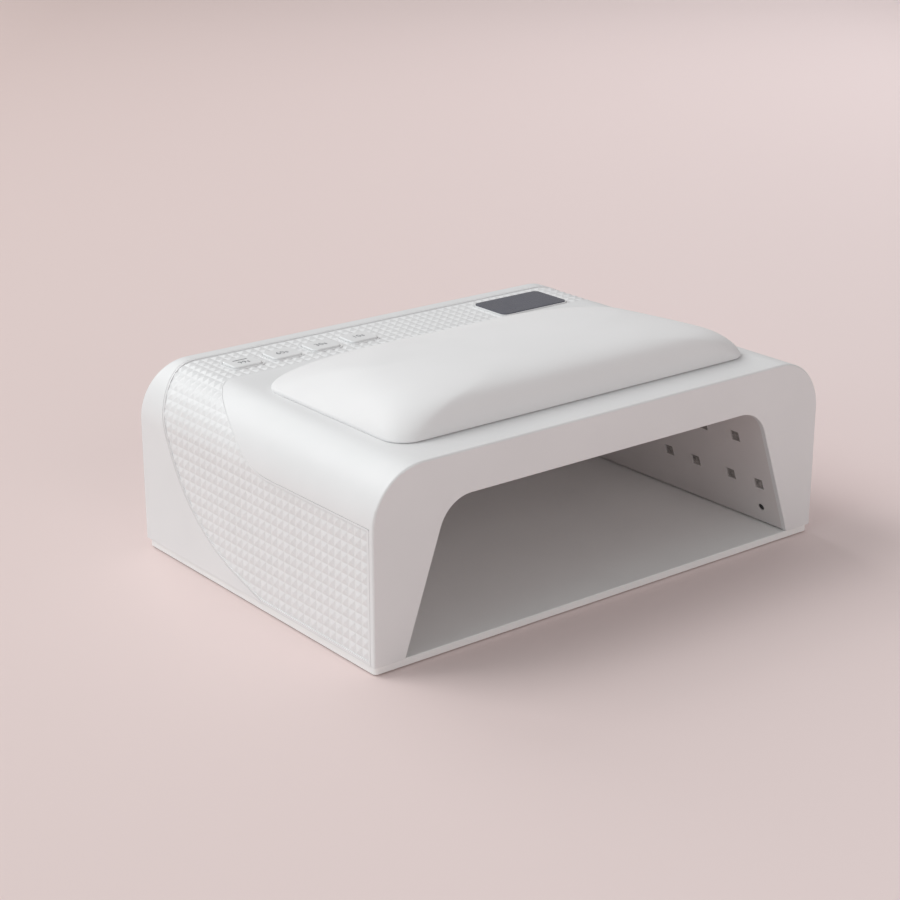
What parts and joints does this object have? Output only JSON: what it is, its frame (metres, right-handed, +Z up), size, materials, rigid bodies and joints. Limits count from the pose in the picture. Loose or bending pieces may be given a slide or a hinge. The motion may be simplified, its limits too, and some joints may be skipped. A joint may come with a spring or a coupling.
{
  "type": "nail curing lamp",
  "caption": "Tabletop UV/LED nail lamp with an arch-shaped white casing, open hand tunnel, padded hand rest, timer keys, display window and lift-off base plate.",
  "frame": {"origin": "on the table under the middle of the lamp's footprint", "axes": "+X to the right seen from the open front, +Y from the open front to the back wall, +Z up"},
  "size_m": [0.283, 0.198, 0.1147],
  "materials": {
    "shell_plastic": "fine satin, warm white",
    "base_plastic": "satin white",
    "liner_plastic": "smooth white reflector plastic",
    "key_plastic": "satin white",
    "cushion_leather": "soft white synthetic leather",
    "foam": "open-cell foam, stated as fabric because the list has no foam",
    "tray_plastic": "plain",
    "smoked_window": "smoked gloss",
    "board": "solder-mask laminate",
    "bead_board": "white-coated aluminium board",
    "bead": "clear bead over yellow phosphor",
    "black_part": "moulded black",
    "steel": "zinc plated",
    "magnet": "nickel plated",
    "contact": "plated contact",
    "rubber": "soft grey rubber",
    "lead": "insulated wire"
  },
  "bodies": {
    "base": {"base_plate": "base_plastic", "base_feet": "rubber", "steel_keepers": "steel"},
    "lamp": {"bead_board_left": "bead_board", "bead_board_right": "bead_board", "bead_board_roof": "bead_board", "bead_leads": "lead", "board_screws": "steel", "buzzer": "black_part", "control_board": "board", "control_board_parts": "black_part", "control_board_screws": "steel", "cushion_cover": "cushion_leather", "cushion_foam": "foam", "cushion_screws": "steel", "cushion_tray": "tray_plastic", "display_frame": "shell_plastic", "display_module": "black_part", "display_window": "smoked_window", "front_shell": "shell_plastic", "hand_sensor_left": "black_part", "hand_sensor_right": "black_part", "liner_screws": "steel", "magnets": "magnet", "middle_shell": "shell_plastic", "power_leads": "lead", "power_socket": "black_part", "power_socket_pin": "contact", "rear_shell": "shell_plastic", "reflector_liner": "liner_plastic", "switch_bodies": "black_part", "uv_beads_left": "bead", "uv_beads_right": "bead", "uv_beads_roof": "bead"},
    "key_1": {"timer_key_1": "key_plastic", "switch_plunger_1": "black_part"},
    "key_2": {"timer_key_2": "key_plastic", "switch_plunger_2": "black_part"},
    "key_3": {"timer_key_3": "key_plastic", "switch_plunger_3": "black_part"},
    "key_4": {"timer_key_4": "key_plastic", "switch_plunger_4": "black_part"}
  },
  "joints": [
    {"name": "lamp_lift", "type": "slide", "parent": "base", "child": "lamp", "axis": [0, 0, 1], "range_m": [0, 0.05]},
    {"name": "key_1_press", "type": "slide", "parent": "lamp", "child": "key_1", "axis": [0, 0, -1], "range_m": [0, 0.0005], "stiffness_N_per_m": 400, "springref_m": -0.0015},
    {"name": "key_2_press", "type": "slide", "parent": "lamp", "child": "key_2", "axis": [0, 0, -1], "range_m": [0, 0.0005], "stiffness_N_per_m": 400, "springref_m": -0.0015},
    {"name": "key_3_press", "type": "slide", "parent": "lamp", "child": "key_3", "axis": [0, 0, -1], "range_m": [0, 0.0005], "stiffness_N_per_m": 400, "springref_m": -0.0015},
    {"name": "key_4_press", "type": "slide", "parent": "lamp", "child": "key_4", "axis": [0, 0, -1], "range_m": [0, 0.0005], "stiffness_N_per_m": 400, "springref_m": -0.0015}
  ]
}
